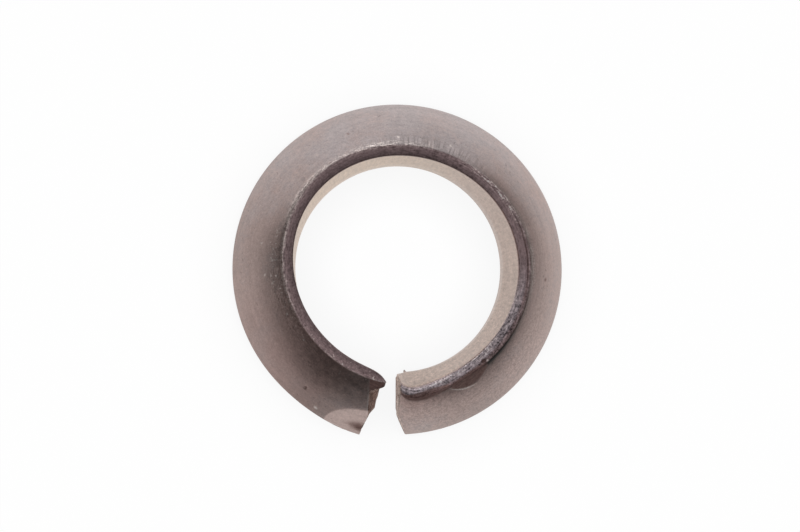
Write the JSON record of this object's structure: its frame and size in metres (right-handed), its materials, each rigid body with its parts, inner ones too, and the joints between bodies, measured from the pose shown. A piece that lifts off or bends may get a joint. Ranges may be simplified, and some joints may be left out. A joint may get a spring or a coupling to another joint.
{
  "type": "spring lock washer",
  "caption": "Split spring lock washer of profiled steel with a domed spherical seat, a flat back and a sprung end, for a wheel stud.",
  "frame": {"origin": "centre of the bore at the flat back, on the surface that the washer lies on", "axes": "+Z along the bore's axis, from the flat back towards the lip; the gap is on the -Y side"},
  "size_m": [0.036, 0.036, 0.0083],
  "materials": {
    "steel": "phosphated spring steel, semi-gloss"
  },
  "bodies": {
    "root": {"washer": "steel"}
  },
  "joints": []
}
